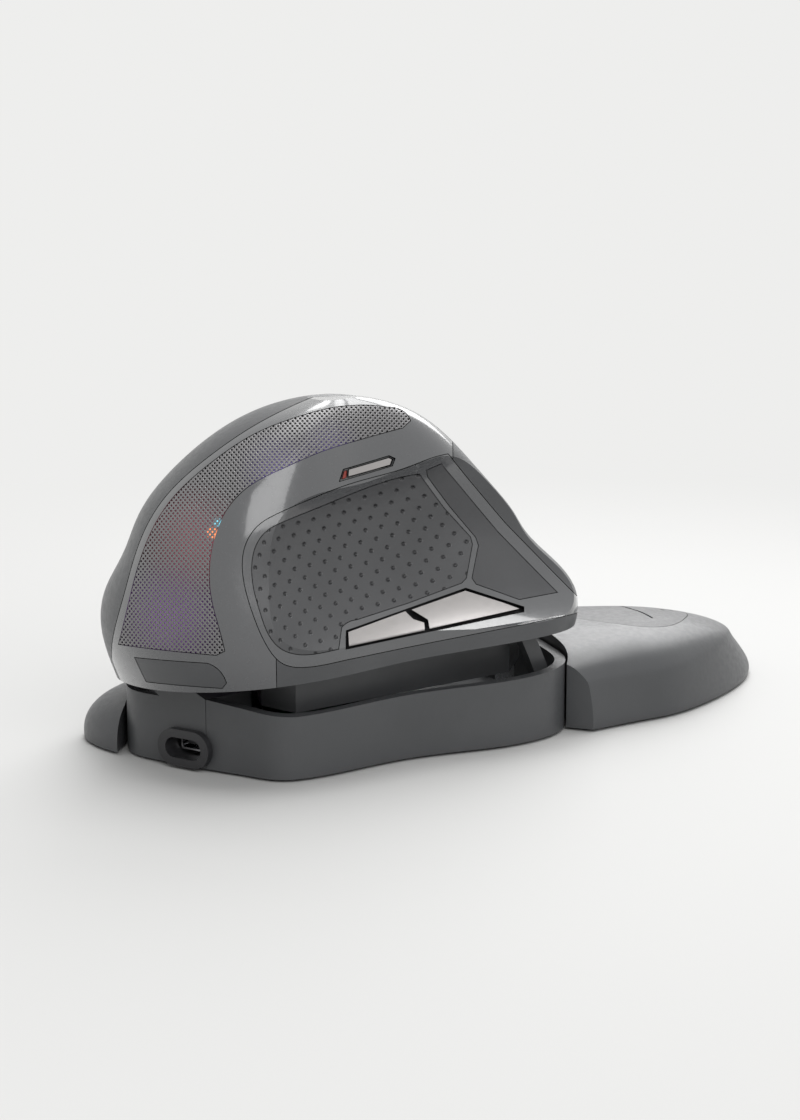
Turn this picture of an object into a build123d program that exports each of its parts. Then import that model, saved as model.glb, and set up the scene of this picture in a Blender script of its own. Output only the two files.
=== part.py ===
"""Right-handed vertical mouse: a fin-shaped body that tilts on a base tray, with a lift-away palm rest."""
from build123d import *
import os
from math import cos, sin, radians, hypot

os.makedirs("parts", exist_ok=True)

# Main sizes of the body
body_front = 80.0
body_back = -14.0
body_left = -32.0
body_right = 34.0
body_top = 72.8
skin = 2.4
cover = 0.9
cover_gap = 0.2
seam = 0.15
key_gap = 0.35

# Sizes that the section tables and the styling outlines are drawn for
drawn_length = 94.0
drawn_width = 66.0
drawn_top = 72.8
drawn_left = -32.0
drawn_back = -14.0

# Base tray and its front block
foot_height = 0.6
foot_gap = 0.02
base_floor = 1.5
rim_wall = 2.2
rim_height = 13.3
neck_height = 19.0
neck_wall = 2.4
neck_room = 1.2

# Tilt hinge along the right lower edge
hinge_x = 24.0
hinge_z = 11.5
pin_radius = 1.25
lug_radius = 3.0
hinge_stations = (4.0, 42.0)
lug_width = 5.0
post_width = 3.0
run_gap = 0.05
side_gap = 0.3
pin_overhang = 0.5
tilt_travel = 5.0

# Underside of the body: a plane that rises to the thumb side
belly_height = 18.8
belly_rise = 0.117
belly_back_rise = 0.0214
belly_plate = 2.0
tub_bottom = 12.4
tub_wall = 1.6
fit_gap = 0.1

# Tilt strut, a curved bar about the hinge, and its guide in the tray
strut_radius = 49.0
strut_thick = 2.0
strut_width = 4.0
strut_foot = 9.5
strut_top_y = -1.6
strut_foot_y = -6.4
guide_top = 11.0
guide_wall = 1.6

# Right side: slope of the click buttons, circuit board and scroll wheel
slope = 33.0
slope_skin = 46.2
board_thick = 1.6
board_depth = 5.0
switch_height = 6.4
switch_gap = 2.6
wheel_radius = 11.0
wheel_width = 7.0
wheel_proud = 3.5
wheel_y = 44.0
wheel_v = 30.0
axle_radius = 1.5
wheel_click = 0.6

# USB inlet in the front block
inlet_width = 12.6
inlet_height = 7.6
inlet_wall = 1.1
inlet_proud = 1.6
inlet_depth = 6.0
inlet_z = 4.45
port_width = 7.6
port_height = 3.0
port_wall = 0.35

# Styling direction: outlines of the thumb side and the nose are drawn on a plane that faces it
style_turn = 40.0
style_lift = 12.0
ridge_reach = 5.0

# Palm rest
palm_right = 37.0
palm_left = -36.75
palm_front = 77.5
palm_back = -80.22
palm_top = 17.6
palm_wall = 2.0
palm_gap = 0.5

stretch_x = (body_right - body_left) / drawn_width
stretch_y = (body_front - body_back) / drawn_length
stretch_z = body_top / drawn_top


def body_x(x):
    return body_left + (x - drawn_left) * stretch_x


def body_y(y):
    return body_back + (y - drawn_back) * stretch_y


def body_z(z):
    return z * stretch_z


# Planes that the features are drawn on
style_back = Vector(
    -cos(radians(style_turn)) * cos(radians(style_lift)),
    sin(radians(style_turn)) * cos(radians(style_lift)),
    sin(radians(style_lift)),
)
style_right = Vector(-sin(radians(style_turn)), -cos(radians(style_turn)), 0)
style_plane = Plane(origin=(0, 0, 0), x_dir=style_right, z_dir=style_back)
belly_plane = Plane(origin=(0, 0, belly_height), x_dir=(0, 1, 0), z_dir=(belly_rise, belly_back_rise, 1))
ridge_plane = Plane(
    origin=(body_x(17), body_y(80), body_z(20)),
    z_dir=(0.903, -0.42, 0.091),
)


def ring(points, z):
    """Closed smooth outline through the points, as a face at height z."""
    with BuildSketch(Plane.XY.offset(z)) as sketch:
        with BuildLine():
            Spline(*points, periodic=True)
        make_face()
    return sketch.sketch


def stack(faces):
    """Smooth solid through the faces in turn."""
    with BuildPart() as solid:
        loft(sections=faces)
    return solid.part


def half_space(plane, depth=300):
    """Everything on the side that the plane's normal points to."""
    with BuildPart() as solid:
        with BuildSketch(plane):
            Rectangle(600, 600)
        extrude(amount=depth)
    return solid.part


# Body sections: height, front, back, left ahead, left behind, right ahead, right amid, right behind
body_sections = (
    (10, 75.5, -10, -24, -30, 25.5, 31.5, 26.5),
    (17, 77.5, -11.5, -24.5, -31, 26, 32.3, 27.5),
    (21, 79, -13, -25.5, -31.5, 26.5, 33, 28),
    (27, 80, -14, -26, -32, 27, 34, 29),
    (36, 79.5, -9, -24, -29, 23, 31, 26),
    (46, 76.5, -1, -22, -25, 18, 26, 20),
    (56, 71.5, 7.5, -20.5, -22, 13, 19.5, 13),
    (63, 65, 14, -19, -19.5, 8, 13, 8),
    (68.4, 57.5, 21, -17, -17, 3, 7, 3),
    (71.3, 50, 27.5, -14.5, -14.5, -1, 2, -1),
    (72.8, 43, 34, -12, -12, -5, -4, -5.5),
)


def body_points(row, inset):
    z, front, back, left_a, left_b, right_a, right_m, right_b = row
    front = body_y(front) - inset
    back = body_y(back) + inset
    left_a = body_x(left_a) + inset
    left_b = body_x(left_b) + inset
    right_a = body_x(right_a) - inset
    right_m = body_x(right_m) - inset
    right_b = body_x(right_b) - inset
    length = front - back
    width = right_a - left_a
    width_b = right_b - left_b
    return [
        (left_a, front - 0.16 * length),
        (left_a + 0.22 * width, front - 0.03 * length),
        (left_a + 0.62 * width, front),
        (right_a - 0.02 * width, front - 0.09 * length),
        (right_m, back + 0.55 * length),
        (right_b, back + 0.16 * length),
        (left_b + 0.55 * width_b, back),
        (left_b + 0.08 * width_b, back + 0.015 * length),
        (left_b, back + 0.07 * length),
        ((left_a + left_b) / 2, back + 0.5 * length),
    ]


def body_hull(inset):
    """Outer form of the body, drawn in by the inset: sideways low down and downwards near the top."""
    faces = []
    for row in body_sections:
        share = (row[0] / drawn_top) ** 6
        points = body_points(row, inset * (1 - 0.75 * share))
        faces.append(ring(points, body_z(row[0]) - inset * share))
    return stack(faces)


# Thumb hollow: station, top height and place, then the places at mid height, on the ledge and at the lip
hollow_sections = (
    (70, 52, -24, -24, -25.5, -28),
    (62, 54.5, -22, -21, -24.5, -28.5),
    (52, 57, -22, -18.5, -24, -29.5),
    (38, 58.5, -21.8, -17.5, -23.6, -30),
    (22, 60.5, -22, -17.8, -24.2, -31.5),
    (8, 62, -23.5, -21, -26.5, -33),
    (-6, 62, -26.5, -25, -29, -34.5),
    (-22, 62, -30, -29, -32, -36),
)
hollow_mid = 43.0
ledge_z = 32.0
lip_z = 26.3


def thumb_hollow(depth):
    """Room that is cut from the thumb side, moved in by the depth."""
    faces = []
    for station, top_z, top_x, mid_x, ledge_x, lip_x in hollow_sections:
        top = (body_x(top_x) + depth, body_z(top_z))
        mid = (body_x(mid_x) + depth, body_z(hollow_mid))
        ledge = (body_x(ledge_x) + depth, body_z(ledge_z))
        lip = (body_x(lip_x) + depth, body_z(lip_z))
        plane = Plane(origin=(0, body_y(station), 0), x_dir=(1, 0, 0), z_dir=(0, -1, 0))
        with BuildSketch(plane) as sketch:
            with BuildLine():
                Spline(top, mid, ledge, lip)
                Polyline(lip, (lip[0] - 40, lip[1] - 6), (top[0] - 40, top[1] + 8), top)
            make_face()
        faces.append(sketch.sketch)
    return stack(faces)


def grown(loop, gap):
    """Closed loop of points moved outwards by the gap, with mitred corners."""
    area = sum(p[0] * q[1] - q[0] * p[1] for p, q in zip(loop, loop[1:] + loop[:1]))
    side = gap if area > 0 else -gap
    moved = []
    for i, (x, y) in enumerate(loop):
        ax, ay = x - loop[i - 1][0], y - loop[i - 1][1]
        bx, by = loop[(i + 1) % len(loop)][0] - x, loop[(i + 1) % len(loop)][1] - y
        nx, ny = ay / hypot(ax, ay), -ax / hypot(ax, ay)
        mx, my = by / hypot(bx, by), -bx / hypot(bx, by)
        mitre = side / max(0.4, 1 + nx * mx + ny * my)
        moved.append((x + (nx + mx) * mitre, y + (ny + my) * mitre))
    return moved


def style_area(runs, gap=0.0):
    """Face on the styling plane inside the runs, grown by the gap; longer runs are curved."""
    loop = [(x * style_stretch_u, y * stretch_z) for run in runs for x, y in run[:-1]]
    loop = grown(loop, gap)
    loop.append(loop[0])
    start = 0
    with BuildSketch(style_plane) as sketch:
        with BuildLine():
            for run in runs:
                part = loop[start : start + len(run)]
                start += len(run) - 1
                if len(run) > 2:
                    Spline(*part)
                else:
                    Line(*part)
        make_face()
    return sketch.sketch


style_stretch_u = (stretch_x * sin(radians(style_turn)) + stretch_y * cos(radians(style_turn))) / (
    sin(radians(style_turn)) + cos(radians(style_turn))
)
left_half = half_space(-ridge_plane)
left_reach = half_space(-ridge_plane.offset(ridge_reach))


def style_prism(points, gap=0.0, reach=None):
    """Straight cut through the near side of the body along the styling direction."""
    face = style_area(points, gap)
    with BuildPart() as solid:
        add(extrude(face, amount=90, dir=style_back))
    return solid.part & (reach or left_reach)


# Outlines on the styling plane, across to the rear and up
mesh_outline = (
    ((-66.4, 15.2), (-63.7, 24.1), (-60.4, 34.9), (-55, 44), (-47.3, 51), (-39.1, 56.5), (-30.2, 60.2),
     (-21.2, 62.6), (-13, 62.6)),
    ((-13, 62.6), (-9.2, 61.6), (-8.2, 60)),
    ((-8.2, 60), (-9.8, 58.5)),
    ((-9.8, 58.5), (-18.6, 55.8), (-26.5, 52.9), (-33.5, 49.6), (-38.7, 46.9), (-43.1, 42.8), (-45.8, 37.6),
     (-47.1, 31.2), (-46.7, 24.3), (-44.8, 17.1), (-44.2, 14.4)),
    ((-44.2, 14.4), (-45.8, 13.6)),
    ((-45.8, 13.6), (-66.4, 15.2)),
)
ring_outline = (
    ((-0.5, 53.4), (-4.8, 52.1), (-8.4, 50.6), (-19.3, 47.2), (-26.5, 44.3), (-33.5, 41.1), (-37.9, 38.3),
     (-40.3, 33.9), (-40.3, 27.7), (-38.6, 21.6), (-35.9, 15.4), (-33, 12), (-28.2, 11.2), (-19.3, 12.7)),
    ((-19.3, 12.7), (30, 21.6)),
    ((30, 21.6), (26, 25)),
    ((26, 25), (11.5, 39.6)),
    ((11.5, 39.6), (-0.5, 53.4)),
)
grip_outline = (
    ((-6.4, 49.3), (-12.2, 47.9), (-18.9, 45.4), (-26.5, 42.1), (-33.3, 39.1), (-36.1, 37.4), (-38, 34.7),
     (-38.8, 30.8), (-38.5, 26.8), (-37.2, 21.9), (-35.4, 17.3), (-33.3, 14.9), (-30.6, 13.8),
     (-26.4, 13.8), (-22.3, 14.6)),
    ((-22.3, 14.6), (-21.8, 18.7)),
    ((-21.8, 18.7), (-20.8, 19.6), (-18.9, 20.2)),
    ((-18.9, 20.2), (-8.5, 23.4)),
    ((-8.5, 23.4), (2.3, 27.3)),
    ((2.3, 27.3), (3.3, 28.3)),
    ((3.3, 28.3), (4.6, 35.2)),
    ((4.6, 35.2), (4.2, 36.7)),
    ((4.2, 36.7), (-1.2, 42.5)),
    ((-1.2, 42.5), (-6.4, 49.3)),
)
rear_outline = (
    ((-4.8, 50.1), (-4.6, 48.9)),
    ((-4.6, 48.9), (-0.1, 43.1)),
    ((-0.1, 43.1), (5.4, 36.7)),
    ((5.4, 36.7), (6, 35)),
    ((6, 35), (4.6, 28.3)),
    ((4.6, 28.3), (5.4, 27.1)),
    ((5.4, 27.1), (14.3, 23.9)),
    ((14.3, 23.9), (22.3, 25.3)),
    ((22.3, 25.3), (10, 37.7)),
    ((10, 37.7), (2.4, 46.6)),
    ((2.4, 46.6), (-1.9, 51.4)),
    ((-1.9, 51.4), (-4.8, 50.1)),
)
well_outline = (
    ((-20.9, 18.1), (3.2, 26.3)),
    ((3.2, 26.3), (15.3, 22.4)),
    ((15.3, 22.4), (15.3, 21.3)),
    ((15.3, 21.3), (-20.9, 14.4)),
    ((-20.9, 14.4), (-20.9, 18.1)),
)
front_button_outline = (
    ((-20.4, 17.8), (-9.2, 21.7)),
    ((-9.2, 21.7), (-7.6, 20.1)),
    ((-7.6, 20.1), (-5.4, 19.4)),
    ((-5.4, 19.4), (-5.3, 17.9)),
    ((-5.3, 17.9), (-20.2, 15.1)),
    ((-20.2, 15.1), (-20.4, 17.8)),
)
rear_button_outline = (
    ((-7.9, 22), (3.1, 25.7)),
    ((3.1, 25.7), (11, 23.2)),
    ((11, 23.2), (14.2, 22)),
    ((14.2, 22), (-4.3, 18.2)),
    ((-4.3, 18.2), (-4.6, 20)),
    ((-4.6, 20), (-7.9, 22)),
)
dpi_outline = (
    ((-22.3, 47.3), (-21.5, 49.9)),
    ((-21.5, 49.9), (-12.4, 52.9)),
    ((-12.4, 52.9), (-11.1, 52.3)),
    ((-11.1, 52.3), (-11.7, 50.7)),
    ((-11.7, 50.7), (-22.3, 47.3)),
)
dpi_bar_outline = (
    ((-20.4, 48.5), (-20.3, 49.8)),
    ((-20.3, 49.8), (-12.5, 52.3)),
    ((-12.5, 52.3), (-11.9, 52)),
    ((-11.9, 52), (-12.3, 51)),
    ((-12.3, 51), (-20.4, 48.5)),
)
dpi_lens_outline = (
    ((-21.6, 48), (-21.2, 49.5)),
    ((-21.2, 49.5), (-20.8, 49.6)),
    ((-20.8, 49.6), (-20.9, 48.3)),
    ((-20.9, 48.3), (-21.6, 48)),
)
badge_outline = (
    ((-62.7, 12.6), (-47.6, 11.9)),
    ((-47.6, 11.9), (-45.3, 10.5), (-44, 8.1)),
    ((-44, 8.1), (-44.8, 7.1)),
    ((-44.8, 7.1), (-60.5, 7.9)),
    ((-60.5, 7.9), (-62.7, 12.6)),
)
front_outline = (
    ((-68.8, 8), (-67.9, 16), (-65.2, 24.5), (-61.9, 35.4), (-56.2, 44.9), (-48.2, 52.1), (-39.8, 58),
     (-31, 63), (-24, 66.5)),
    ((-24, 66.5), (0.5, 66.5)),
    ((0.5, 66.5), (0.5, 52)),
    ((0.5, 52), (-20, 30)),
    ((-20, 30), (-34.2, 14.2)),
    ((-34.2, 14.2), (-34.2, -8)),
    ((-34.2, -8), (-68.8, -8)),
    ((-68.8, -8), (-68.8, 8)),
)
band_outline = (
    ((-34.2, 14.2), (-20, 20)),
    ((-20, 20), (20, 28)),
    ((20, 28), (29, 21.6)),
    ((29, 21.6), (45, 24.6)),
    ((45, 24.6), (45, -8)),
    ((45, -8), (-34.2, -8)),
    ((-34.2, -8), (-34.2, 14.2)),
)


def carve(base, keep=(), cut=()):
    """A piece of the base: what lies in every tool to keep and in no tool to cut."""
    with BuildPart() as piece:
        add(base)
        for tool in keep:
            add(tool, mode=Mode.INTERSECT, clean=False)
        if cut:
            add(list(cut), mode=Mode.SUBTRACT, clean=False)
    return piece


above_belly = half_space(belly_plane)


def body_form(depth):
    """Solid form of the body with its thumb hollow, drawn in by the depth."""
    return carve(body_hull(depth), keep=[above_belly], cut=[thumb_hollow(depth)]).part


form = {}


def layer(outer, inner):
    """Layer of the body's wall between two depths below its surface."""
    for depth in (outer, inner):
        if depth not in form:
            form[depth] = body_form(depth)
    return carve(form[outer], cut=[form[inner]]).part


pieces = {}

# Shells of the body
cover_inner = cover + cover_gap
shell_layer = layer(0, skin)
cover_layer = layer(0, cover)
lining_layer = layer(cover_inner, skin)
front_tool = style_prism(front_outline, -seam / 2, left_half)
front_tool_wide = style_prism(front_outline, seam / 2, half_space(-ridge_plane.offset(seam)))
ring_tool = style_prism(ring_outline)
ring_tool_wide = style_prism(ring_outline, seam, half_space(-ridge_plane.offset(ridge_reach + seam)))
band_tool = style_prism(band_outline, -seam / 2)
band_tool_wide = style_prism(band_outline, seam / 2, half_space(-ridge_plane.offset(ridge_reach + seam)))
mesh_tool = style_prism(mesh_outline, reach=left_half)
mesh_tool_wide = style_prism(mesh_outline, seam, left_half)
badge_tool = style_prism(badge_outline, reach=left_half)
badge_tool_wide = style_prism(badge_outline, seam, left_half)
grip_tool = style_prism(grip_outline)
rear_tool = style_prism(rear_outline)
well_tool = style_prism(well_outline)
dpi_tool = style_prism(dpi_outline)

pieces["front_shell"] = carve(
    shell_layer, keep=[front_tool], cut=[ring_tool_wide, mesh_tool_wide, badge_tool_wide, dpi_tool]
)
pieces["mesh_grille"] = carve(cover_layer, keep=[mesh_tool])
pieces["light_diffuser"] = carve(lining_layer, keep=[mesh_tool])
pieces["badge_plate"] = carve(cover_layer, keep=[badge_tool])
pieces["thumb_trim"] = carve(
    cover_layer,
    keep=[ring_tool],
    cut=[style_prism(grip_outline, seam), style_prism(rear_outline, seam), style_prism(well_outline)],
)
pieces["thumb_grip"] = carve(cover_layer, keep=[grip_tool])
pieces["rear_grip"] = carve(cover_layer, keep=[rear_tool])
pieces["thumb_shell"] = carve(lining_layer, keep=[ring_tool], cut=[style_prism(well_outline, 1.35)])
pieces["side_band"] = carve(shell_layer, keep=[band_tool], cut=[ring_tool_wide])

# Base: one outline for the tray, the front block and the room that the palm rest leaves
base_points = (
    (-24.2, 59.8), (-25.4, 54), (-25.9, 44), (-26.8, 33), (-29.6, 22.5), (-32.4, 13), (-33.2, 5),
    (-31.8, -3), (-27.5, -9), (-18, -14), (-5, -18.6), (9, -21.5), (21, -19.5), (27.5, -12), (29.5, 2),
    (29.5, 38), (27.5, 55), (23, 65.8), (17.5, 71.8), (12, 74), (3.5, 72.6), (-6.8, 69.4), (-16, 66),
    (-21.6, 63.5),
)
room_top = 30.0


def base_form(inset, low, high):
    """Upright solid inside the base outline, drawn in by the inset."""
    with BuildPart() as solid:
        with BuildSketch(Plane.XY.offset(low)):
            with BuildLine():
                Spline(*grown(list(base_points), -inset), periodic=True)
            make_face()
        extrude(amount=high - low)
    return solid.part


def box(x_range, y_range, z_range):
    """Box between limits on each axis."""
    with BuildPart() as solid:
        with BuildSketch(Plane.XY.offset(z_range[0])):
            with Locations(((x_range[0] + x_range[1]) / 2, (y_range[0] + y_range[1]) / 2)):
                Rectangle(x_range[1] - x_range[0], y_range[1] - y_range[0])
        extrude(amount=z_range[1] - z_range[0])
    return solid.part


def disc(plane, radius, low, high, centre=(0, 0)):
    """Round bar along the plane's normal between two heights above it."""
    with BuildPart() as solid:
        with BuildSketch(plane.offset(low)):
            with Locations(centre):
                Circle(radius)
        extrude(amount=high - low)
    return solid.part


def block(plane, x_range, y_range, z_range, radius=0.0):
    """Box between limits along a plane's own axes, with its upright edges rounded."""
    with BuildPart() as solid:
        with BuildSketch(plane.offset(z_range[0])):
            with Locations(((x_range[0] + x_range[1]) / 2, (y_range[0] + y_range[1]) / 2)):
                if radius:
                    RectangleRounded(x_range[1] - x_range[0], y_range[1] - y_range[0], radius)
                else:
                    Rectangle(x_range[1] - x_range[0], y_range[1] - y_range[0])
        extrude(amount=z_range[1] - z_range[0])
    return solid.part


def slab(face_points, plane, low, high):
    """Plate with a many-sided outline on a plane."""
    with BuildPart() as solid:
        with BuildSketch(plane.offset(low)):
            Polygon(*face_points, align=None)
        extrude(amount=high - low)
    return solid.part


floor_top = foot_height + base_floor
seam_x = -6.8
neck_back = 58.0
base_outer = base_form(0, foot_height, room_top)
base_room = base_form(rim_wall, floor_top, room_top + 1)
neck_area = box((seam_x, 60), (neck_back, 100), (-5, 60))
above_rim = carve(
    half_space(Plane(origin=(base_points[0][0], base_points[0][1], rim_height), z_dir=(0, 0.02, 1))),
    keep=[half_space(Plane(origin=(base_points[0][0], base_points[0][1], rim_height), z_dir=(-0.092, 0, 1)))],
).part
above_right = half_space(Plane(origin=(8, 0, rim_height + 1.6), z_dir=(0.17, 0, 1)))

# USB inlet: its frame stands on the front wall, whose seam end and run fix its direction
wall_end, wall_start = base_points[20], base_points[21]
wall_run = Vector(wall_end[0] - wall_start[0], wall_end[1] - wall_start[1], 0).normalized()
inlet_plane = Plane(
    origin=(-2.3, 70.85, inlet_z), x_dir=wall_run, z_dir=(-wall_run.Y, wall_run.X, 0)
)


def inlet_bar(width, height, low, high):
    """Stadium-shaped bar along the inlet's direction."""
    with BuildPart() as solid:
        with BuildSketch(inlet_plane.offset(low)):
            SlotOverall(width, height)
        extrude(amount=high - low)
    return solid.part


tube_width = inlet_width - 1.6
tube_height = inlet_height - 1.2
inlet_hole = inlet_bar(tube_width + 2 * seam, tube_height + 2 * seam, -inlet_depth - 0.5, 3)
inlet_seat = inlet_bar(inlet_width + 2 * seam, inlet_height + 2 * seam, 0, 3)
port_floor = -inlet_depth + 1.2
port_area = block(
    inlet_plane,
    (-port_width / 2 - seam, port_width / 2 + seam),
    (-port_height / 2 - seam, port_height / 2 + seam),
    (-inlet_depth - 1, 0),
    0.8,
)

# Sensor board, its four bosses and the lens window
board_z = 4.2
board_thin = 1.2
board_x = (-15.0, 15.0)
board_y = (8.0, 40.0)
screw_radius = 0.8
head_radius = 1.6
board_edge = 2.5
board_holes = [
    (x, y)
    for x in (board_x[0] + board_edge, board_x[1] - board_edge)
    for y in (board_y[0] + board_edge, board_y[1] - board_edge)
]
sensor_place = (0.0, 24.0)
window_radius = 3.2
switch_place = (-14.0, 47.0)
knob_size = (2.6, 3.0)
knob_travel = 1.5


def posts(places, radius, low, high):
    """Round posts at each place."""
    with BuildPart() as solid:
        with BuildSketch(Plane.XY.offset(low)):
            with Locations(*places):
                Circle(radius)
        extrude(amount=high - low)
    return solid.part


def hinge_plane(y):
    """Plane across the hinge at a station: first axis to the right, second axis up, normal to the rear."""
    return Plane(origin=(hinge_x, y, hinge_z), x_dir=(1, 0, 0), z_dir=(0, -1, 0))


def knuckle(y_low, y_high, radius, foot_z, half_width):
    """Rounded upright plate with its round end about the hinge."""
    with BuildPart() as solid:
        with BuildSketch(hinge_plane(y_high)):
            Circle(radius)
            with Locations((0, (foot_z - hinge_z) / 2)):
                Rectangle(2 * half_width, abs(foot_z - hinge_z))
        extrude(amount=y_high - y_low)
    return solid.part


post_radius = lug_radius - 0.2
hinge_posts = []
hinge_lugs = []
lug_rooms = []
pin_holes = []
pins = []
for station in hinge_stations:
    low = station - lug_width / 2
    high = station + lug_width / 2
    for y_low in (high + side_gap, low - side_gap - post_width):
        hinge_posts.append(knuckle(y_low, y_low + post_width, post_radius, floor_top, post_radius))
    hinge_lugs.append(knuckle(low, high, lug_radius, belly_height, lug_radius))
    half_room = (lug_width + side_gap) / 2
    lug_rooms.append(disc(hinge_plane(station), lug_radius + side_gap, -half_room, half_room))
    half_pin = lug_width / 2 + side_gap + post_width + pin_overhang
    pin_holes.append(disc(hinge_plane(station), pin_radius + run_gap, -half_pin - 1, half_pin + 1))
    pins.append(disc(hinge_plane(station), pin_radius, -half_pin, half_pin))


def strut_ring(inner, outer, depth):
    """Upright ring about the hinge axis, long enough for the strut and its guide."""
    with BuildPart() as solid:
        with BuildSketch(hinge_plane(strut_top_y + depth)):
            Circle(outer)
            Circle(inner, mode=Mode.SUBTRACT)
        extrude(amount=2 * depth + strut_top_y - strut_foot_y)
    return solid.part


strut_inner = strut_radius - strut_thick / 2
strut_outer = strut_radius + strut_thick / 2
left_of_hinge = box((hinge_x - 60, hinge_x - 40), (-40, 60), (-5, 40))
strut_lean = (strut_foot_y - strut_top_y) / (strut_foot - 21.5)


def strut_y(z):
    return strut_top_y + (z - 21.5) * strut_lean


strut_side = slab(
    (
        (strut_y(strut_foot), strut_foot + strut_width / 3),
        (strut_y(strut_foot) + strut_width / 2, strut_foot),
        (strut_y(strut_foot) + strut_width, strut_foot + strut_width / 3),
        (strut_y(30) + strut_width, 30),
        (strut_y(30), 30),
    ),
    Plane.YZ,
    -60,
    60,
)
guide_y = (strut_y(strut_foot) - 1.5, strut_y(guide_top) + strut_width + 1.5)
guide_side = box((-60, 60), guide_y, (floor_top + 0.02, guide_top))
guide_ring = carve(
    strut_ring(strut_inner - side_gap - guide_wall, strut_outer + side_gap + guide_wall, 10),
    keep=[guide_side, left_of_hinge, base_form(rim_wall + run_gap, 0, room_top)],
    cut=[
        carve(
            strut_ring(strut_inner - side_gap, strut_outer + side_gap, 12),
            keep=[box((-60, 60), (-40, 60), (floor_top + 1.2, 60))],
        ).part
    ],
)

magnet_places = ((-1.0, -20.0), (14.0, -21.3))
plate_size = (9.0, 1.0, 8.0)

knob_slot = block(
    Plane.XY.offset(0),
    (switch_place[0] - knob_size[0] / 2 - side_gap, switch_place[0] + knob_size[0] / 2 + side_gap),
    (
        switch_place[1] - knob_size[1] / 2 - knob_travel - side_gap,
        switch_place[1] + knob_size[1] / 2 + knob_travel + side_gap,
    ),
    (0, floor_top + 1),
)


def strike_boxes(gap):
    """Upright plates inside the rear wall, grown by the gap."""
    return [
        box(
            (x - plate_size[0] / 2 - gap, x + plate_size[0] / 2 + gap),
            (y + rim_wall - 0.2 - gap, y + rim_wall - 0.2 + plate_size[1] + gap),
            (floor_top + 0.05 - gap, floor_top + plate_size[2] + gap),
        )
        for x, y in magnet_places
    ]


pierced_outer = carve(base_outer, cut=[inlet_hole, inlet_seat]).part
tray_room = carve(
    base_room,
    keep=[box((-60, 60), (-60, 100), (floor_top, room_top))],
    cut=[posts(board_holes, 2.2, floor_top - 1, board_z - 0.05), *hinge_posts],
).part
tray_holes = [
    *pin_holes,
    *lug_rooms,
    posts(board_holes, screw_radius + run_gap, foot_height + 0.6, 20),
    posts([sensor_place], window_radius + seam, -1, 20),
    knob_slot,
    *strike_boxes(run_gap),
]
under_block = carve(neck_area, keep=[base_outer], cut=[base_form(neck_wall + seam, 0, floor_top)]).part
with BuildPart() as base_tray:
    add(pierced_outer)
    for tools in ([tray_room], tray_holes, [above_rim, above_right], [under_block]):
        add(tools, mode=Mode.SUBTRACT, clean=False)
pieces["base_tray"] = base_tray

neck_outer = carve(pierced_outer, keep=[box((seam_x + seam, 60), (neck_back, 100), (0, neck_height))])
neck_inner = carve(
    base_form(neck_wall, 0, room_top),
    keep=[box((seam_x + seam + 2, 60), (neck_back + 2, 100), (-1, neck_height - 2))],
)
neck_seat = carve(
    base_form(neck_wall - 0.1, -1, room_top),
    keep=[box((seam_x - 1, 60), (neck_back - 1, 100), (-1, floor_top + 0.05))],
)
neck_slope = half_space(Plane(origin=(seam_x, 69.4, rim_height + 1.5), z_dir=(-0.5, 0, 1)))
lowered_plane = Plane(
    origin=(hinge_x, 0, belly_height - belly_rise * hinge_x - side_gap * 2),
    x_dir=(0, 1, 0),
    z_dir=(belly_rise - sin(radians(tilt_travel + 1)), belly_back_rise, 1),
)
neck_shell = carve(half_space(lowered_plane), cut=[body_hull(skin + neck_room)]).part
pieces["front_block"] = carve(
    neck_outer.part,
    cut=[neck_inner.part, neck_seat.part, inlet_hole, neck_slope, neck_shell, posts([(8, 66)], 3, 10, 30)],
)

with BuildPart() as usb_shroud:
    add(inlet_bar(inlet_width, inlet_height, seam, inlet_proud))
    add(inlet_bar(tube_width, tube_height, -inlet_depth, seam))
    add(
        inlet_bar(tube_width - 2 * inlet_wall, tube_height - 2 * inlet_wall, -inlet_depth + 1, 5),
        mode=Mode.SUBTRACT,
    )
    add(port_area, mode=Mode.SUBTRACT)
pieces["usb_shroud"] = usb_shroud
with BuildPart() as usb_port:
    half_w, half_h = port_width / 2, port_height / 2
    add(block(inlet_plane, (-half_w, half_w), (-half_h, half_h), (-inlet_depth - 3, port_floor + 1.8), 0.7))
    half_w, half_h = half_w - port_wall, half_h - port_wall
    add(
        block(inlet_plane, (-half_w, half_w), (-half_h, half_h), (-inlet_depth - 2.6, 5), 0.5),
        mode=Mode.SUBTRACT,
    )
pieces["usb_port"] = usb_port
with BuildPart() as usb_tongue:
    add(block(inlet_plane, (-2.6, 2.6), (-0.45, 0.35), (-inlet_depth - 2.5, port_floor + 1.2)))
pieces["usb_tongue"] = usb_tongue

with BuildPart() as sensor_board:
    add(block(Plane.XY, board_x, board_y, (board_z, board_z + board_thin), 1.5))
    add(posts(board_holes, screw_radius + run_gap, 0, 20), mode=Mode.SUBTRACT)
    add(posts([sensor_place], window_radius, 0, 20), mode=Mode.SUBTRACT)
pieces["sensor_board"] = sensor_board
board_top = board_z + board_thin
with BuildPart() as board_screws:
    add(posts(board_holes, screw_radius, foot_height + 0.8, board_top + 0.05))
    add(posts(board_holes, head_radius, board_top + 0.05, board_top + 1.1))
pieces["board_screws"] = board_screws
sx, sy = sensor_place
pieces["optical_sensor"] = carve(
    block(Plane.XY, (sx - 6, sx + 6), (sy - 5, sy + 5), (board_top + 0.03, board_top + 2), 0.6)
)
with BuildPart() as sensor_lens:
    add(block(Plane.XY, (sx - 7, sx + 7), (sy - 6, sy + 6), (board_z - 1.2, board_z - 0.1), 1))
    add(posts([sensor_place], window_radius, foot_height + 0.2, board_z - 1.2))
pieces["sensor_lens"] = sensor_lens
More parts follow.
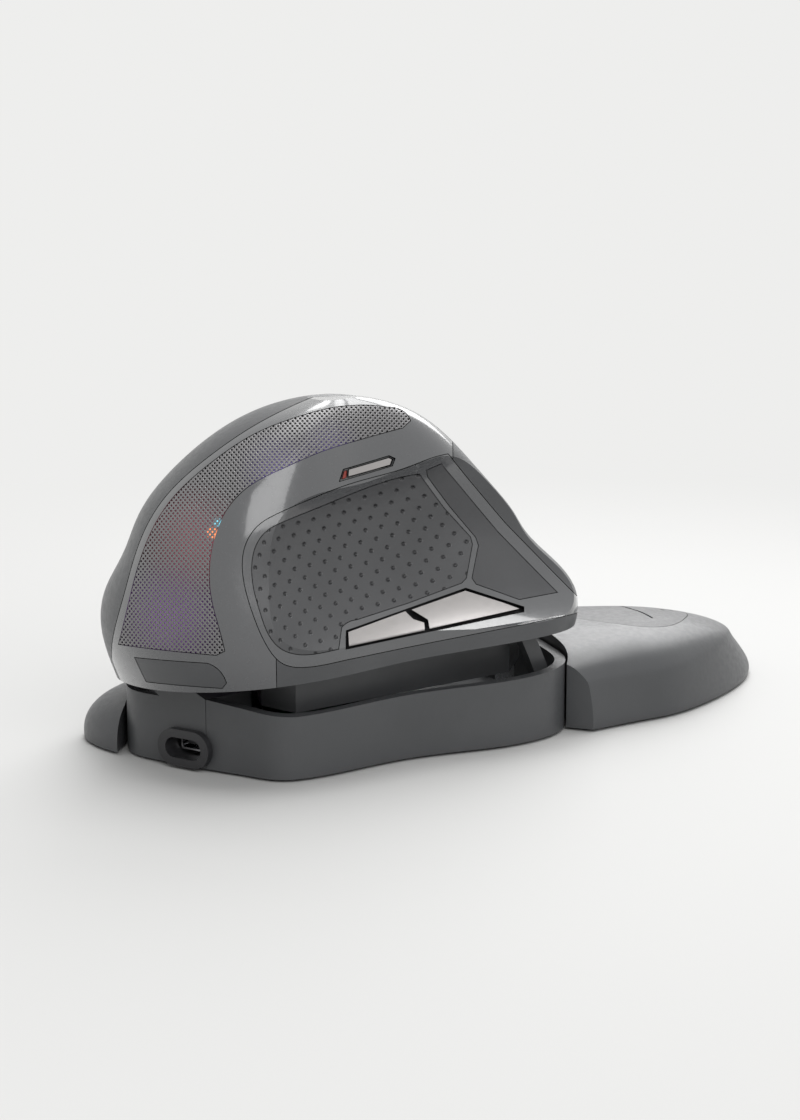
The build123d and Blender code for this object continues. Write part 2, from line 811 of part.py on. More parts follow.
pieces["controller_chip"] = carve(
    block(Plane.XY, (2.5, 9.5), (31, 38), (board_top + 0.03, board_top + 1.1), 0.4)
)
px, py = switch_place
pieces["power_switch"] = carve(
    block(Plane.XY, (px - 2.6, px + 2.6), (py - 5.5, py + 5.5), (floor_top + 0.05, floor_top + 2.6), 0.5)
)
half_w, half_h = knob_size[0] / 2, knob_size[1] / 2
with BuildPart() as power_knob:
    add(
        block(
            Plane.XY,
            (px - half_w, px + half_w),
            (py - half_h, py + half_h),
            (foot_height - 0.2, floor_top - 0.05),
            0.4,
        )
    )
    with BuildSketch(Plane.XY.offset(foot_height - 0.2)):
        with Locations((px, py - 0.8), (px, py), (px, py + 0.8)):
            Rectangle(knob_size[0] + 1, 0.3)
    extrude(amount=0.25, mode=Mode.SUBTRACT)
pieces["power_knob"] = power_knob
pieces["strut_guide"] = guide_ring
with BuildPart() as hinge_pins:
    for pin in pins:
        add(pin)
pieces["hinge_pins"] = hinge_pins
with BuildPart() as base_feet:
    with BuildSketch(Plane.XY):
        for fx, fy, turn in ((-15, 60, 20), (-25, 4, 80), (20, 52, 95), (16, -12, 10)):
            with Locations(Location((fx, fy, 0), (0, 0, turn))):
                SlotOverall(12, 5)
    extrude(amount=foot_height - foot_gap)
pieces["base_feet"] = base_feet
with BuildPart() as strike_plates:
    add(strike_boxes(0))
pieces["strike_plates"] = strike_plates


# Palm rest: height, front, back, left, right ahead and right behind of each section
palm_sections = (
    (0, 76.5, -80, -37, 37, 36),
    (4, 76, -78.3, -36.9, 37, 35),
    (8, 72, -73.6, -36.4, 36, 30),
    (11, 53, -69.5, -35.4, 33, 21),
    (13, 36, -63.5, -33.8, 29, 13),
    (14.6, 20, -57.5, -31.6, 24, 7),
    (15.8, 4, -52, -28.8, 17, 2),
    (16.6, -9, -47, -25.2, 9, -2),
    (17.1, -17, -43.5, -22, 3, -5),
    (17.3, -22, -40.5, -19.5, -2, -7),
)
palm_drawn = (76.5, -80.0, -37.0, 37.0, 17.3)
palm_middle = -28.0
palm_share = 0.38
palm_plan = (
    (0, 0.38), (0.045, 0.62), (0.2, 0.85), (0.5, 0.96), (0.78, 0.995), (0.92, 0.975), (0.985, 0.88),
    (1, 0.62), (0.985, 0.36), (0.9, 0.16), (0.72, 0.035), (0.46, 0), (0.25, 0.04), (0.12, 0.13),
    (0.035, 0.245),
)


def palm_form(inset):
    """Domed form of the palm rest without the room for the base."""
    faces = []
    for z, front, back, left, right, behind in palm_sections:
        side = inset * max(0.0, 1 - (z / 14) ** 2)
        front = front * palm_front / palm_drawn[0] - side
        back = back * palm_back / palm_drawn[1] + side
        left = left * palm_left / palm_drawn[2] + side
        right = right * palm_right / palm_drawn[3] - side
        behind = behind * palm_right / palm_drawn[3] - side
        height = foot_height + z * (palm_top - foot_height) / palm_drawn[4] - inset
        points = []
        for x, y in palm_plan:
            far = palm_share - y
            if far > 0:
                reach = (palm_middle - back) / palm_share
            else:
                reach = (front - palm_middle) / (1 - palm_share)
            edge = behind + (right - behind) * min(1.0, max(0.0, 2 * y - 0.2))
            points.append((left + x * (edge - left), palm_middle - far * reach))
        faces.append(ring(points, height))
    return stack(faces)


def palm_solid(inset):
    """Palm rest with the room for the base and its two cut ends, drawn in by the inset."""
    end_plane = Plane(origin=(-31.0, -7.7, 0), x_dir=(0, 0, 1), z_dir=(-0.5, 0.87, 0))
    wing_plane = Plane(origin=(23.3, 66.3, 0), x_dir=(0, 0, 1), z_dir=(-0.76, -0.65, 0))
    end_trim = half_space(end_plane.offset(-inset))
    end_trim = end_trim & box((-80, -18), (-40, 55), (-5, 60))
    wing_trim = half_space(wing_plane.offset(-inset))
    wing_trim = wing_trim & box((-80, 80), (66, 90), (-5, 60))
    return carve(
        palm_form(inset),
        cut=[base_form(-palm_gap - inset, foot_height - 3, room_top), end_trim, wing_trim],
    ).part


palm_outer = palm_solid(0)
pad_points = (
    (-8, -27), (-16, -29.5), (-22.5, -33.5), (-25, -40), (-20.5, -52), (-12, -60.5), (0, -63), (12, -56),
    (18, -43), (15, -31), (4, -27),
)
pad_thick = 1.2
plate_thick = 1.6


def upright(points, gap, low, high):
    """Upright solid inside a smooth outline."""
    loop = grown(list(points), gap)
    return stack([ring(loop, low), ring(loop, high)])


pad_line = ((-20, -42), (-11, -44.5), (-3, -48.6), (-3.2, -49.2), (-11.2, -45.1), (-20.1, -42.6))
pad_marks = [
    slab(pad_line, Plane.XY, 5, 40),
    posts([(-11.5, -54), (-10.8, -57.5)], 0.6, 5, 40),
]
palm_crown = palm_form(0)
pieces["palm_rest_pad"] = carve(
    palm_crown, keep=[upright(pad_points, 0, 5, 40)], cut=[Pos(0, 0, -pad_thick) * palm_crown, *pad_marks]
)
pad_seat = carve(
    upright(pad_points, seam, 5, 40), cut=[Pos(0, 0, -pad_thick - seam) * palm_crown]
).part
pieces["palm_rest_shell"] = carve(palm_outer, cut=[palm_solid(palm_wall), pad_seat])
palm_fill = palm_solid(palm_wall + seam)
pieces["palm_rest_plate"] = carve(
    palm_fill, keep=[box((-80, 80), (-120, 120), (foot_height, foot_height + plate_thick))]
)
with BuildPart() as palm_magnets:
    for mx, my in magnet_places:
        centre = Plane(origin=(mx, my - palm_gap - palm_wall - 1.1, 7), x_dir=(1, 0, 0), z_dir=(0, -1, 0))
        add(disc(centre, 3.5, 0, 2.5))
pieces["palm_rest_magnets"] = palm_magnets
with BuildPart() as palm_feet:
    with BuildSketch(Plane.XY):
        for fx, fy, turn in ((-28, -30, 80), (-12, -72, 20), (26, -52, 120), (33, 10, 90), (33, 55, 90)):
            with Locations(Location((fx, fy, 0), (0, 0, turn))):
                SlotOverall(9 if fx < 30 else 7, 4 if fx < 30 else 2.6)
    extrude(amount=foot_height - foot_gap)
pieces["palm_rest_feet"] = palm_feet

# Belly of the body: plate, hinge lugs, tub and strut
inside = body_form(skin + seam)
neck_clear = carve(
    base_form(-neck_room, 0, room_top),
    keep=[box((seam_x - neck_room, 60), (neck_back - neck_room, 100), (-5, room_top))],
).part
tub_points = [(-19, 56.3), (-21.5, 1.5), (-13, -9), (15, -12), (17, 50), (-4, 54.5), (-10, 58)]
below_belly = half_space(-belly_plane.offset(-fit_gap))


def tub(gap, low):
    """Upright solid inside the tub's outline, up to the belly plane."""
    return carve(slab(grown(tub_points, gap), Plane.XY, low, 30), keep=[below_belly]).part


screw_places = ((-14, 46), (-15, 4), (9, -4), (12, 45))
belly_screw_top = belly_height + 1
with BuildPart() as belly:
    add(inside)
    add(half_space(-belly_plane.offset(belly_plate)), mode=Mode.INTERSECT, clean=False)
    add([neck_clear], mode=Mode.SUBTRACT, clean=False)
    add([carve(lug, cut=[above_belly]).part for lug in hinge_lugs], clean=False)
    add([*pin_holes, posts(screw_places, 1.05, 5, 40)], mode=Mode.SUBTRACT, clean=False)
pieces["belly_plate"] = belly


def cross_slot(plane, low, high):
    """Two small bars that cross, for the drive in a screw's head."""
    return [
        block(plane, (-1.2, 1.2), (-0.25, 0.25), (low, high)),
        block(plane, (-0.25, 0.25), (-1.2, 1.2), (low, high)),
    ]


tub_bosses = carve(posts(screw_places, 2.6, tub_bottom, 30), keep=[below_belly]).part
tub_open = carve(tub(-tub_wall, tub_bottom + tub_wall), cut=[tub_bosses]).part
with BuildPart() as lower_tub:
    add(tub(0, tub_bottom))
    add([tub_open], mode=Mode.SUBTRACT, clean=False)
    add(
        [posts(screw_places, 1.05, 5, 40), posts(screw_places, 2.0, 5, tub_bottom + 1.5)],
        mode=Mode.SUBTRACT,
        clean=False,
    )
pieces["lower_tub"] = lower_tub
with BuildPart() as body_screws:
    add(posts(screw_places, 1.0, tub_bottom + 1.5, belly_height + 2.2))
    add(posts(screw_places, 1.9, tub_bottom + 0.1, tub_bottom + 1.5), clean=False)
    for place in screw_places:
        centre = Plane(origin=(*place, 0))
        add(cross_slot(centre, tub_bottom, tub_bottom + 0.7), mode=Mode.SUBTRACT, clean=False)
pieces["tilt_strut"] = carve(
    strut_ring(strut_inner, strut_outer, 10), keep=[strut_side, left_of_hinge, below_belly]
)

# Battery and its strap, on the belly plate
cell_y = (-2.0, 44.0)
cell_x = (-16.0, 10.0)
cell_high = 6.0
cell_base = belly_plate + run_gap
cell_plane = belly_plane
pieces["battery"] = carve(
    block(cell_plane, cell_y, (-cell_x[1], -cell_x[0]), (cell_base, cell_base + cell_high), 1.5)
)
strap_y = (16.0, 26.0)
strap_thick = 0.8
strap_outer = block(
    cell_plane,
    strap_y,
    (-cell_x[1] - strap_thick - fit_gap, -cell_x[0] + strap_thick + fit_gap),
    (cell_base, cell_base + cell_high + fit_gap + strap_thick),
)
strap_room = block(
    cell_plane,
    (strap_y[0] - 1, strap_y[1] + 1),
    (-cell_x[1] - fit_gap, -cell_x[0] + fit_gap),
    (cell_base - 1, cell_base + cell_high + fit_gap),
)
strap_feet = block(
    cell_plane,
    strap_y,
    (-cell_x[1] - 5, -cell_x[0] + 5),
    (cell_base, cell_base + strap_thick),
)
with BuildPart() as battery_strap:
    add(strap_outer)
    add([strap_feet], clean=False)
    add([strap_room], mode=Mode.SUBTRACT, clean=False)
pieces["battery_strap"] = battery_strap

# Click buttons and their slope: along the mouse, up the slope and outwards
slope_plane = Plane(
    origin=(0, 0, 0),
    x_dir=(0, 1, 0),
    z_dir=(cos(radians(slope)), 0, sin(radians(slope))),
)
slope_inner = slope_skin - skin
left_points = ((22, 35.6), (22, 50), (34, 54.5), (50, 54), (60, 49.5), (64.5, 43), (66, 35.6))
right_points = ((22, 24.4), (69, 24.4), (71, 16), (70, 9), (22, 9))
strip_y = (26.0, 66.0)
strip_v = (24.4 + key_gap, 35.6 - key_gap)
tyre_reach = 12.5
board_n = slope_inner - switch_gap - switch_height - board_thick
board_face = board_n + board_thick
switch_y = 48.0
left_switch_v = 42.2
right_switch_v = 18.0
switch_top = board_face + switch_height
press_gap = 0.6
light_depth = 3.4
light_layer = layer(skin + seam, light_depth)
root_layer = layer(cover_inner, light_depth)


def key_slab(points, gap, low=20, high=90):
    """Straight cut through the right side inside an outline with rounded corners."""
    with BuildPart() as solid:
        with BuildSketch(slope_plane.offset(low)) as sketch:
            Polygon(*grown(list(points), gap), align=None)
            fillet(sketch.vertices(), 1.6 + gap)
        extrude(amount=high - low)
    return solid.part


def key_arm(v_range):
    """Tongue at a button's rear edge that lies under the body's shell."""
    return [
        carve(block(slope_plane, (16, 27), v_range, (20, 90)), keep=[light_layer]).part,
        carve(block(slope_plane, (22.8, 27), v_range, (20, 90)), keep=[root_layer]).part,
    ]


def key_rib(y, v):
    """Rib under a button that presses its switch."""
    return block(
        slope_plane, (y - 1.2, y + 1.2), (v - 1.2, v + 1.2), (switch_top + press_gap, slope_inner + 0.4), 0.3
    )


button_cuts = []
for name, points, arm_v, rib_v in (
    ("left_button", left_points, (38, 46), left_switch_v),
    ("right_button", right_points, (12, 20), right_switch_v),
):
    with BuildPart() as button:
        add(shell_layer)
        add(key_slab(points, 0), mode=Mode.INTERSECT, clean=False)
        add([*key_arm(arm_v), key_rib(switch_y, rib_v)], clean=False)
    pieces[name] = button
    button_cuts.append(key_slab(points, key_gap))
strip_tool = block(slope_plane, strip_y, strip_v, (20, 90), 1.0)
strip_room = block(
    slope_plane,
    (strip_y[0] - seam, strip_y[1] + seam),
    (strip_v[0] - seam, strip_v[1] + seam),
    (20, 90),
    1.0 + seam,
)
wheel_slot = block(
    slope_plane,
    (wheel_y - tyre_reach, wheel_y + tyre_reach),
    (wheel_v - wheel_width / 2 - 0.7, wheel_v + wheel_width / 2 + 0.7),
    (20, 90),
    2.0,
)
pieces["wheel_strip"] = carve(shell_layer, keep=[strip_tool], cut=[wheel_slot])
pieces["body_shell"] = carve(
    shell_layer, cut=[front_tool_wide, ring_tool_wide, band_tool_wide, strip_room, *button_cuts]
)

# Scroll wheel, axle and sprung carrier
wheel_n = slope_skin + wheel_proud - wheel_radius
hub_radius = wheel_radius - 2.4
axle_plane = Plane(
    origin=slope_plane.from_local_coords((wheel_y, wheel_v, wheel_n)),
    x_dir=(0, 1, 0),
    z_dir=slope_plane.y_dir,
)
tread_ribs = 30
tread_depth = 0.5
axle_ends = (-6.5, 8.5)
with BuildPart() as wheel_tyre:
    add(disc(axle_plane, wheel_radius, -wheel_width / 2, wheel_width / 2))
    chamfer(wheel_tyre.edges().filter_by(GeomType.CIRCLE), 0.8)
    with BuildSketch(axle_plane.offset(-wheel_width / 2)):
        with PolarLocations(wheel_radius + 0.1, tread_ribs):
            Rectangle(2 * tread_depth, 0.9)
        Circle(hub_radius)
    extrude(amount=wheel_width, mode=Mode.SUBTRACT)
pieces["wheel_tyre"] = wheel_tyre
with BuildPart() as wheel_hub:
    add(disc(axle_plane, hub_radius, -wheel_width / 2 + 0.5, wheel_width / 2 - 0.5))
    for side in (-1, 1):
        add(
            carve(
                disc(axle_plane, hub_radius - 1.6, side * 1.2, side * wheel_width),
                cut=[disc(axle_plane, axle_radius + 1.4, -wheel_width, wheel_width)],
            ).part,
            mode=Mode.SUBTRACT,
            clean=False,
        )
    add(disc(axle_plane, axle_radius, -10, 10), mode=Mode.SUBTRACT, clean=False)
pieces["wheel_hub"] = wheel_hub
pieces["wheel_axle"] = carve(disc(axle_plane, axle_radius, *axle_ends))

carrier_low = board_face + wheel_click + 0.2
carrier_high = carrier_low + 1.5
frame_half = 14.5
frame_front = 4.0
frame_wall = 1.5
frame_in = wheel_width / 2 + 0.5
with BuildPart() as wheel_carrier:
    add(
        block(
            slope_plane,
            (wheel_y - frame_half, wheel_y + frame_front),
            (wheel_v - frame_in - frame_wall, wheel_v + frame_in + frame_wall),
            (carrier_low, carrier_high),
            1.0,
        )
    )
    add(disc(axle_plane, axle_radius + 1.1, -frame_in - frame_wall, frame_in + frame_wall), clean=False)
    add(
        [
            block(
                slope_plane,
                (wheel_y - frame_half + 0.5, wheel_y - frame_half + 2),
                (wheel_v - 3, wheel_v + 3),
                (carrier_low, slope_inner - 2.1),
            ),
            block(
                slope_plane,
                (wheel_y - frame_half - 6, wheel_y - frame_half + 2),
                (wheel_v - 3, wheel_v + 3),
                (slope_inner - 3.6, slope_inner - 2.1),
            ),
        ],
        clean=False,
    )
    add(
        [
            block(
                slope_plane,
                (wheel_y - frame_half + 2, wheel_y + frame_half),
                (wheel_v - frame_in, wheel_v + frame_in),
                (20, 60),
            ),
            disc(axle_plane, axle_radius + run_gap, -10, 10),
        ],
        mode=Mode.SUBTRACT,
        clean=False,
    )
pieces["wheel_carrier"] = wheel_carrier
encoder_v = (wheel_v + frame_in + frame_wall + 0.7, wheel_v + frame_in + frame_wall + 2.9)
axle_room = axle_radius + 0.15
with BuildPart() as wheel_encoder:
    add(
        block(
            slope_plane,
            (wheel_y - 5, wheel_y + 4),
            encoder_v,
            (board_face + 0.05, wheel_n + 2.5),
        )
    )
    with BuildSketch(axle_plane.offset(encoder_v[0] - wheel_v - 1)):
        with Locations((0, wheel_click / 2)):
            SlotOverall(2 * axle_room + wheel_click + 0.3, 2 * axle_room, rotation=90)
    extrude(amount=6, mode=Mode.SUBTRACT)
pieces["wheel_encoder"] = wheel_encoder

# Main circuit board behind the slope, its parts and its bracket
board_slot = block(
    slope_plane,
    (wheel_y - tyre_reach, wheel_y + tyre_reach),
    (wheel_v - 6.5, wheel_v + 6.5),
    (board_n - 1, board_face + 1),
    1.0,
)
board_screw_places = ((16, 16), (38, 16))
with BuildPart() as main_board:
    add(block(slope_plane, (8, 71), (12, 47), (board_n, board_face), 2.0))
    add(body_form(board_depth), mode=Mode.INTERSECT, clean=False)
    add(
        [board_slot, *[disc(slope_plane, 1.05, 20, 60, place) for place in board_screw_places]],
        mode=Mode.SUBTRACT,
        clean=False,
    )
pieces["main_board"] = main_board
for name, v in (("left_click_switch", left_switch_v), ("right_click_switch", right_switch_v)):
    with BuildPart() as switch:
        top = switch_top - 0.5
        sides = ((switch_y - 6.4, switch_y + 6.4), (v - 2.9, v + 2.9))
        add(block(slope_plane, *sides, (board_face + 0.05, top), 0.4))
        key = ((switch_y - 1.5, switch_y + 1.5), (v - 1.2, v + 1.2))
        add(block(slope_plane, *key, (top - 0.2, switch_top), 0.3), clean=False)
    pieces[name] = switch
click_top = slope_inner - 3.6 - wheel_click - 0.1
pieces["wheel_click_switch"] = carve(
    block(
        slope_plane,
        (wheel_y - frame_half - 6.2, wheel_y - frame_half - 0.5),
        (wheel_v - 3, wheel_v + 3),
        (board_face + 0.05, click_top),
        0.5,
    )
)
pieces["main_chip"] = carve(
    block(slope_plane, (21.5, 28.5), (36.5, 43.5), (board_face + 0.05, board_face + 1.1), 0.4)
)
bracket_stations = ((14, 18), (36, 40))
bracket_n = board_n - 0.05
slope_cos, slope_sin = cos(radians(slope)), sin(radians(slope))
with BuildPart() as board_bracket:
    with BuildSketch(Plane(origin=(0, bracket_stations[0][0], 0), x_dir=(1, 0, 0), z_dir=(0, -1, 0))):
        Polygon(
            *[
                (bracket_n * slope_cos - v * slope_sin, bracket_n * slope_sin + v * slope_cos)
                for v in (8, 20)
            ],
            (15, belly_height - 4),
            (24, belly_height - 5),
            align=None,
        )
    extrude(amount=-(bracket_stations[1][1] - bracket_stations[0][0]))
    add(
        block(
            Plane.XY,
            (-60, 60),
            (bracket_stations[0][1], bracket_stations[1][0]),
            (belly_height + 1.6, 80),
        ),
        mode=Mode.SUBTRACT,
        clean=False,
    )
    add(half_space(belly_plane.offset(belly_plate + 0.05)), mode=Mode.INTERSECT, clean=False)
    add(
        [disc(slope_plane, 1.05, board_n - 6, 60, place) for place in board_screw_places],
        mode=Mode.SUBTRACT,
        clean=False,
    )
pieces["board_bracket"] = board_bracket
with body_screws:
    for place in board_screw_places:
        add(disc(slope_plane, 1.0, board_n - 5, board_face + 0.1, place), clean=False)
        add(disc(slope_plane, 1.9, board_face + 0.05, board_face + 1.4, place), clean=False)
        middle = slope_plane.from_local_coords((*place, 0))
        centre = Plane(origin=middle, x_dir=(0, 1, 0), z_dir=slope_plane.z_dir)
        add(cross_slot(centre, board_face + 0.7, board_face + 1.5), mode=Mode.SUBTRACT, clean=False)
pieces["body_screws"] = body_screws

# Lights behind the mesh of the nose
light_strip_depth = 4.4
light_spots = ((-55.2, 27.5), (-50.8, 36), (-44, 43.5), (-35.5, 50), (-26.5, 55.2))
light_strip_outline = (
    ((-58, 24), (-56.2, 29), (-51.6, 37), (-44.6, 45), (-35.8, 52), (-24, 57.6)),
    ((-24, 57.6), (-22.6, 54.8)),
    ((-22.6, 54.8), (-34, 49.2), (-42.4, 42.2), (-48.4, 35), (-52, 29), (-53.4, 24)),
    ((-53.4, 24), (-58, 24)),
)


def spot(u, v, wide, high):
    """Outline of a small rectangle on the styling plane."""
    corners = ((u - wide, v - high), (u + wide, v - high), (u + wide, v + high), (u - wide, v + high))
    return tuple(zip(corners, corners[1:] + corners[:1]))


pieces["light_strip"] = carve(
    layer(light_depth, light_strip_depth), keep=[style_prism(light_strip_outline, reach=left_half)]
)
with BuildPart() as light_chips:
    for u, v in light_spots:
        add(light_layer & style_prism(spot(u, v, 1.4, 1.4), reach=left_half), clean=False)
pieces["light_chips"] = light_chips

# Thumb buttons, their well and their switches
button_proud = 1.0
well_floor = 4.4
well_room = 3.4
dome_depth = 3.1
button_layer = layer(-button_proud, skin)
pieces["front_thumb_button"] = carve(button_layer, keep=[style_prism(front_button_outline)])
pieces["rear_thumb_button"] = carve(button_layer, keep=[style_prism(rear_button_outline)])
room_cut = carve(style_prism(well_outline, 0.25), cut=[form[well_room]]).part
pieces["button_well"] = carve(
    layer(cover_inner, well_floor), keep=[style_prism(well_outline, 1.2)], cut=[room_cut]
)
dome_layer = layer(dome_depth, well_room)
with BuildPart() as dome_switches:
    for u, v, wide, high in (
        (-14, 18.2, 1.2, 1),
        (-9.6, 19.1, 1.2, 1),
        (-1, 21.6, 1.2, 1),
        (5, 22.4, 1.2, 1),
        (-16.2, 50.45, 0.8, 0.4),
    ):
        add(dome_layer & style_prism(spot(u, v, wide, high)), clean=False)
pieces["dome_switches"] = dome_switches

# Resolution button on the ridge: bezel, bar, lens and switch
dpi_cut = carve(style_prism(dpi_bar_outline, 0.25), cut=[form[well_room]]).part
lens_cut = style_prism(dpi_lens_outline, 0.1)
pieces["resolution_bezel"] = carve(
    layer(cover, well_floor), keep=[style_prism(dpi_outline, -0.15)], cut=[dpi_cut, lens_cut]
)
pieces["resolution_button"] = carve(layer(-0.2, skin), keep=[style_prism(dpi_bar_outline)])
pieces["resolution_light"] = carve(layer(0.3, well_room), keep=[style_prism(dpi_lens_outline)])

for name, piece in pieces.items():
    solids = piece.part.solids()
    print(name, len(solids), [round(solid.volume, 1) for solid in solids], piece.part.is_valid)
    piece.part.label = name
    export_step(piece.part, "parts/" + name + ".step")
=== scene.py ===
"""Looks for the right-handed vertical mouse: materials, light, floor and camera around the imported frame."""
from math import cos, radians, sin

import bpy
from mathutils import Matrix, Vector

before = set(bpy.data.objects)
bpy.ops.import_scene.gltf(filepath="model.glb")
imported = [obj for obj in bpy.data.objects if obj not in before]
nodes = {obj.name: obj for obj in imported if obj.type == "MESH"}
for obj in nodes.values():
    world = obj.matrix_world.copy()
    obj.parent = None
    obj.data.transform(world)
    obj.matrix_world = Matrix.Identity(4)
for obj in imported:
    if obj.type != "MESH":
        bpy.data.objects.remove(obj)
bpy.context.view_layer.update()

scene = bpy.context.scene
MM = 0.001

# Sizes of the clouding and the fine wear that every moulded finish has
CLOUD = 18 * MM
WEAR = 1.2 * MM

# Directions of the styling plane that the thumb side's outlines are drawn on
turn = radians(40)
lift = radians(12)
STYLE_BACK = Vector((-cos(turn) * cos(lift), sin(turn) * cos(lift), sin(lift)))
STYLE_RIGHT = Vector((-sin(turn), -cos(turn), 0))
STYLE_UP = STYLE_BACK.cross(STYLE_RIGHT)


class Finish:
    """A material on one Principled shader, with short calls for the nodes that feed it."""

    def __init__(self, name, colour, roughness, metallic=0.0, coat=0.0, coat_roughness=0.1, ior=1.5):
        self.material = bpy.data.materials.new(name)
        self.material.use_nodes = True
        self.tree = self.material.node_tree
        self.shader = self.tree.nodes["Principled BSDF"]
        self.output = self.tree.nodes["Material Output"]
        self.shader.inputs["Base Color"].default_value = (*colour, 1)
        self.shader.inputs["Roughness"].default_value = roughness
        self.shader.inputs["Metallic"].default_value = metallic
        self.shader.inputs["Coat Weight"].default_value = coat
        self.shader.inputs["Coat Roughness"].default_value = coat_roughness
        self.shader.inputs["IOR"].default_value = ior
        self.place = self.node("ShaderNodeTexCoord").outputs["Object"]

    def node(self, kind, **settings):
        """A new node with its properties set."""
        made = self.tree.nodes.new(kind)
        for key, value in settings.items():
            setattr(made, key, value)
        return made

    def feed(self, socket, value):
        """Puts a number, a colour or another node's output into a socket."""
        if isinstance(value, bpy.types.NodeSocket):
            self.tree.links.new(value, socket)
        else:
            socket.default_value = value

    def math(self, operation, first, second=0.0, third=0.0, clamp=False):
        """Output of a Math node."""
        made = self.node("ShaderNodeMath", operation=operation, use_clamp=clamp)
        for socket, value in zip(made.inputs, (first, second, third)):
            self.feed(socket, value)
        return made.outputs[0]

    def along(self, direction, place=None):
        """Distance along a direction."""
        made = self.node("ShaderNodeVectorMath", operation="DOT_PRODUCT")
        self.feed(made.inputs[0], place or self.place)
        made.inputs[1].default_value = direction
        return made.outputs["Value"]

    def noise(self, size, detail=2.0, roughness=0.5):
        """Noise whose features are about this size in metres."""
        made = self.node("ShaderNodeTexNoise")
        self.feed(made.inputs["Vector"], self.place)
        made.inputs["Scale"].default_value = 1 / size
        made.inputs["Detail"].default_value = detail
        made.inputs["Roughness"].default_value = roughness
        return made.outputs["Fac"]

    def span(self, value, low, high, to_low=0.0, to_high=1.0, smooth=True):
        """The value carried from one range to another and held at its ends."""
        made = self.node("ShaderNodeMapRange", interpolation_type="SMOOTHSTEP" if smooth else "LINEAR")
        self.feed(made.inputs["Value"], value)
        for name, number in zip(("From Min", "From Max", "To Min", "To Max"), (low, high, to_low, to_high)):
            made.inputs[name].default_value = number
        return made.outputs["Result"]

    def blend(self, share, first, second):
        """Mix of two colours."""
        made = self.node("ShaderNodeMix", data_type="RGBA")
        self.feed(made.inputs[0], share)
        self.feed(made.inputs[6], first if isinstance(first, bpy.types.NodeSocket) else (*first, 1))
        self.feed(made.inputs[7], second if isinstance(second, bpy.types.NodeSocket) else (*second, 1))
        return made.outputs[2]

    def bump(self, height, depth, strength=1.0):
        """Relief of this depth in metres, on top of any relief so far."""
        made = self.node("ShaderNodeBump")
        made.inputs["Distance"].default_value = depth
        made.inputs["Strength"].default_value = strength
        self.feed(made.inputs["Height"], height)
        normal = self.shader.inputs["Normal"]
        if normal.is_linked:
            self.feed(made.inputs["Normal"], normal.links[0].from_socket)
        self.tree.links.new(made.outputs["Normal"], normal)

    def shade(self, share, colour):
        """Takes the colour so far towards another one."""
        socket = self.shader.inputs["Base Color"]
        self.feed(socket, self.blend(share, socket.links[0].from_socket, colour))

    def grain(self, size, depth, colour, change, roughness, roughness_change):
        """Moulded grain: fine relief with slight changes of colour and roughness."""
        self.bump(self.noise(size, 3, 0.6), depth)
        cloud = self.noise(CLOUD, 3)
        dark = tuple(c * (1 - change) for c in colour)
        light = tuple(c * (1 + change) for c in colour)
        self.feed(self.shader.inputs["Base Color"], self.blend(self.span(cloud, 0.35, 0.65), dark, light))
        fine = self.noise(WEAR, 4)
        self.feed(
            self.shader.inputs["Roughness"],
            self.span(fine, 0.3, 0.7, roughness - roughness_change, roughness + roughness_change),
        )

    def lattice(self, first, second, start, spread=0.0):
        """Distance in metres to the nearest point of a lattice in the styling plane.

        The rows widen to the right if spread is more than zero.
        """
        area = first[0] * second[1] - first[1] * second[0]
        right = self.math("SUBTRACT", self.along(STYLE_RIGHT), start[0])
        if spread:
            bend = self.math("MULTIPLY_ADD", right, -spread, 1)
            right = self.math("MULTIPLY", right, bend)
        up = self.math("SUBTRACT", self.along(STYLE_UP), start[1])
        steps = []
        for by_right, by_up in ((second[1] / area, -second[0] / area), (-first[1] / area, first[0] / area)):
            value = self.math("MULTIPLY_ADD", right, by_right, self.math("MULTIPLY_ADD", up, by_up, 0.5))
            steps.append(self.math("SUBTRACT", self.math("FRACT", value), 0.5))
        u = self.math("MULTIPLY_ADD", steps[0], first[0], self.math("MULTIPLY", steps[1], second[0]))
        v = self.math("MULTIPLY_ADD", steps[0], first[1], self.math("MULTIPLY", steps[1], second[1]))
        squares = self.math("ADD", self.math("MULTIPLY", u, u), self.math("MULTIPLY", v, v))
        return self.math("SQRT", squares)


def moulded(name, colour, roughness, grain=0.25 * MM, depth=0.02 * MM, change=0.06, spread=0.04, **more):
    """Plain moulded plastic or rubber."""
    finish = Finish(name, colour, roughness, **more)
    finish.grain(grain, depth, colour, change, roughness, spread)
    return finish


CHARCOAL = (0.060, 0.062, 0.065)
GUNMETAL = (0.075, 0.077, 0.081)
shell = moulded("satin charcoal", CHARCOAL, 0.36)
base = moulded("base charcoal", (0.058, 0.060, 0.063), 0.42)
palm = moulded("palm rest charcoal", (0.055, 0.057, 0.060), 0.38)
POLISH = {"depth": 0.0005 * MM, "change": 0.03, "coat": 1.0}
gloss = moulded("gunmetal gloss", GUNMETAL, 0.22, coat_roughness=0.07, **POLISH)
frame_gloss = moulded("nose gloss", GUNMETAL, 0.24, coat_roughness=0.09, **POLISH)
inner = moulded("inner plastic", (0.05, 0.05, 0.053), 0.5)
SILVER = (0.36, 0.345, 0.34)
PAINT = {"grain": 0.12 * MM, "depth": 0.001 * MM, "metallic": 0.6, "change": 0.03}
silver = moulded("silver paint", SILVER, 0.32, **PAINT)
pad = moulded("palm pad rubber", (0.060, 0.061, 0.064), 0.46, depth=0.03 * MM)
plain_grip = moulded("thumb rubber", (0.050, 0.051, 0.054), 0.40, depth=0.02 * MM)
badge = moulded("badge plate satin", (0.062, 0.064, 0.067), 0.34, depth=0.004 * MM)
